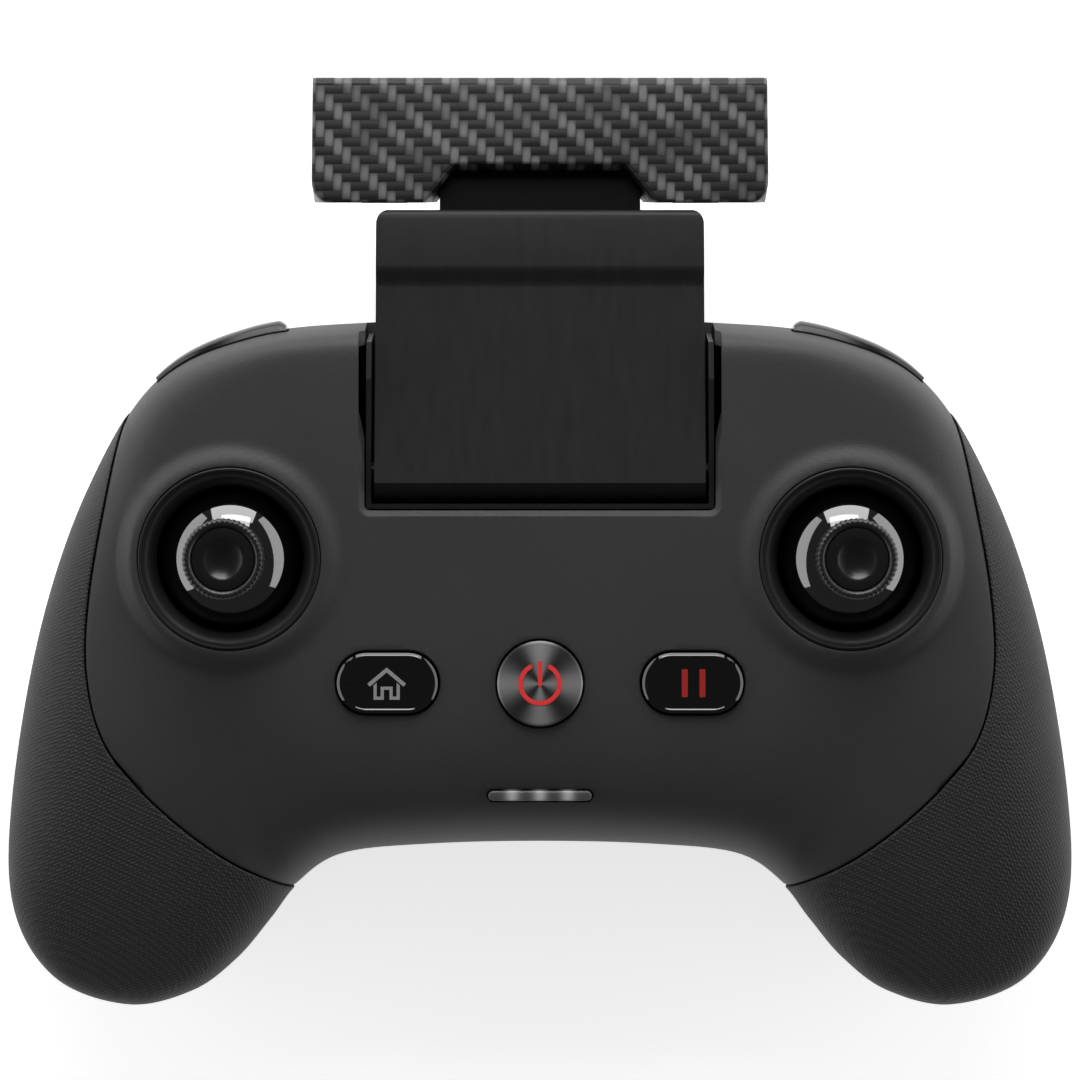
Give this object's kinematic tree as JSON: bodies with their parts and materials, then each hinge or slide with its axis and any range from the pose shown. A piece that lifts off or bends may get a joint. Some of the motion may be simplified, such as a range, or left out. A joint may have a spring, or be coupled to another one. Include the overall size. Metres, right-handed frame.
{
  "type": "radio transmitter controller",
  "caption": "Hand-held twin-stick radio transmitter with a tilting, telescoping phone holder, face keys, shoulder keys and dial wheels.",
  "frame": {"origin": "on the table, under the middle of the controller lying on its back", "axes": "+X to the right hand grip, +Y from the grips to the phone holder, +Z out of the face"},
  "size_m": [0.1912, 0.1664, 0.062],
  "materials": {
    "shell": "fine spark-eroded dark grey moulding",
    "grip": "dark soft-touch moulding with a fine dot relief",
    "collar": "fine satin dark grey",
    "trim": "satin black",
    "gloss": "polished black",
    "stick_cap": "fine satin black with a dished top",
    "holder": "satin black",
    "arm": "satin black paint",
    "carbon": "twill weave of black and grey carbon fibre under clear resin",
    "steel": "fine machined steel",
    "spun_metal": "dark anodised, spun finish",
    "rubber": "matt black",
    "light_pipe": "smoked translucent light guide, satin",
    "board": "green solder mask",
    "cell": "blue shrink wrap",
    "frame": "glass-filled black moulding"
  },
  "bodies": {
    "root": {"front_shell": "shell", "rear_shell": "shell", "left_grip_cover": "grip", "right_grip_cover": "grip", "left_housing_screw_1": "steel", "right_housing_screw_1": "steel", "left_housing_screw_2": "steel", "right_housing_screw_2": "steel", "left_housing_screw_3": "steel", "right_housing_screw_3": "steel", "left_wheel_axle": "steel", "right_wheel_axle": "steel", "left_hinge_pin": "steel", "right_hinge_pin": "steel", "usb_port": "steel", "left_stick_collar": "collar", "right_stick_collar": "collar", "left_gimbal_housing": "frame", "right_gimbal_housing": "frame", "left_wheel_bracket": "frame", "right_wheel_bracket": "frame", "speaker": "frame", "left_gimbal_sensor": "board", "right_gimbal_sensor": "board", "main_board": "board", "charge_board": "board", "holder_cradle": "trim", "keypad": "rubber", "light_pipe": "light_pipe", "battery_pack": "cell"},
    "holder": {"plate_front": "holder", "plate_back": "holder", "left_plate_pad": "rubber", "right_plate_pad": "rubber"},
    "sleeve": {"telescopic_sleeve": "holder"},
    "clamp": {"telescopic_arm": "arm", "clamp_front": "carbon", "clamp_back": "holder", "left_clamp_pad": "rubber", "right_clamp_pad": "rubber", "left_antenna_board": "board", "right_antenna_board": "board"},
    "home_button": {"home_button": "gloss"},
    "pause_button": {"pause_button": "gloss"},
    "power_button": {"power_button": "spun_metal"},
    "left_gimbal_ring": {"left_gimbal_ring": "frame"},
    "left_stick": {"left_stick_dome": "gloss", "left_stick_stem": "steel", "left_stick_cap": "stick_cap"},
    "left_shoulder_button": {"left_shoulder_button": "gloss"},
    "left_dial_wheel": {"left_dial_wheel": "trim"},
    "left_rear_button": {"left_rear_button": "trim"},
    "right_gimbal_ring": {"right_gimbal_ring": "frame"},
    "right_stick": {"right_stick_dome": "gloss", "right_stick_stem": "steel", "right_stick_cap": "stick_cap"},
    "right_shoulder_button": {"right_shoulder_button": "gloss"},
    "right_dial_wheel": {"right_dial_wheel": "trim"},
    "right_rear_button": {"right_rear_button": "trim"}
  },
  "joints": [
    {"name": "holder_hinge", "type": "hinge", "parent": "root", "child": "holder", "pos_m": [0, 0.01253, 0.0405], "axis": [1, 0, 0], "range_deg": [0, 62]},
    {"name": "sleeve_slide", "type": "slide", "parent": "holder", "child": "sleeve", "axis": [0, 0.9781, -0.2079], "range_m": [0, 0.026]},
    {"name": "clamp_slide", "type": "slide", "parent": "sleeve", "child": "clamp", "axis": [0, 0.9781, -0.2079], "range_m": [0, 0.034]},
    {"name": "home_press", "type": "slide", "parent": "root", "child": "home_button", "axis": [0, 0, -1], "range_m": [0, 0.0008], "stiffness_N_per_m": 900},
    {"name": "pause_press", "type": "slide", "parent": "root", "child": "pause_button", "axis": [0, 0, -1], "range_m": [0, 0.0008], "stiffness_N_per_m": 900},
    {"name": "power_press", "type": "slide", "parent": "root", "child": "power_button", "axis": [0, 0, -1], "range_m": [0, 0.0008], "stiffness_N_per_m": 900},
    {"name": "left_stick_roll", "type": "hinge", "parent": "root", "child": "left_gimbal_ring", "pos_m": [-0.0546, -0.00297, 0.0344], "axis": [0, 1, 0], "range_deg": [-20, 20], "stiffness_Nm_per_rad": 0.05},
    {"name": "left_stick_pitch", "type": "hinge", "parent": "left_gimbal_ring", "child": "left_stick", "pos_m": [-0.0546, -0.00297, 0.0344], "axis": [1, 0, 0], "range_deg": [-20, 20], "stiffness_Nm_per_rad": 0.05},
    {"name": "left_shoulder_press", "type": "slide", "parent": "root", "child": "left_shoulder_button", "axis": [0.3262, -0.9453, 0], "range_m": [0, 0.0008], "stiffness_N_per_m": 900},
    {"name": "left_wheel_turn", "type": "hinge", "parent": "root", "child": "left_dial_wheel", "pos_m": [-0.05622, 0.02582, 0.0145], "axis": [0, 0, 1], "range_deg": [-35, 35], "stiffness_Nm_per_rad": 0.02},
    {"name": "left_rear_press", "type": "slide", "parent": "root", "child": "left_rear_button", "axis": [0, 0, 1], "range_m": [0, 0.0006], "stiffness_N_per_m": 900},
    {"name": "right_stick_roll", "type": "hinge", "parent": "root", "child": "right_gimbal_ring", "pos_m": [0.0546, -0.00297, 0.0344], "axis": [0, 1, 0], "range_deg": [-20, 20], "stiffness_Nm_per_rad": 0.05},
    {"name": "right_stick_pitch", "type": "hinge", "parent": "right_gimbal_ring", "child": "right_stick", "pos_m": [0.0546, -0.00297, 0.0344], "axis": [1, 0, 0], "range_deg": [-20, 20], "stiffness_Nm_per_rad": 0.05},
    {"name": "right_shoulder_press", "type": "slide", "parent": "root", "child": "right_shoulder_button", "axis": [-0.3262, -0.9453, 0], "range_m": [0, 0.0008], "stiffness_N_per_m": 900},
    {"name": "right_wheel_turn", "type": "hinge", "parent": "root", "child": "right_dial_wheel", "pos_m": [0.05622, 0.02582, 0.0145], "axis": [0, 0, 1], "range_deg": [-35, 35], "stiffness_Nm_per_rad": 0.02},
    {"name": "right_rear_press", "type": "slide", "parent": "root", "child": "right_rear_button", "axis": [0, 0, 1], "range_m": [0, 0.0006], "stiffness_N_per_m": 900}
  ]
}
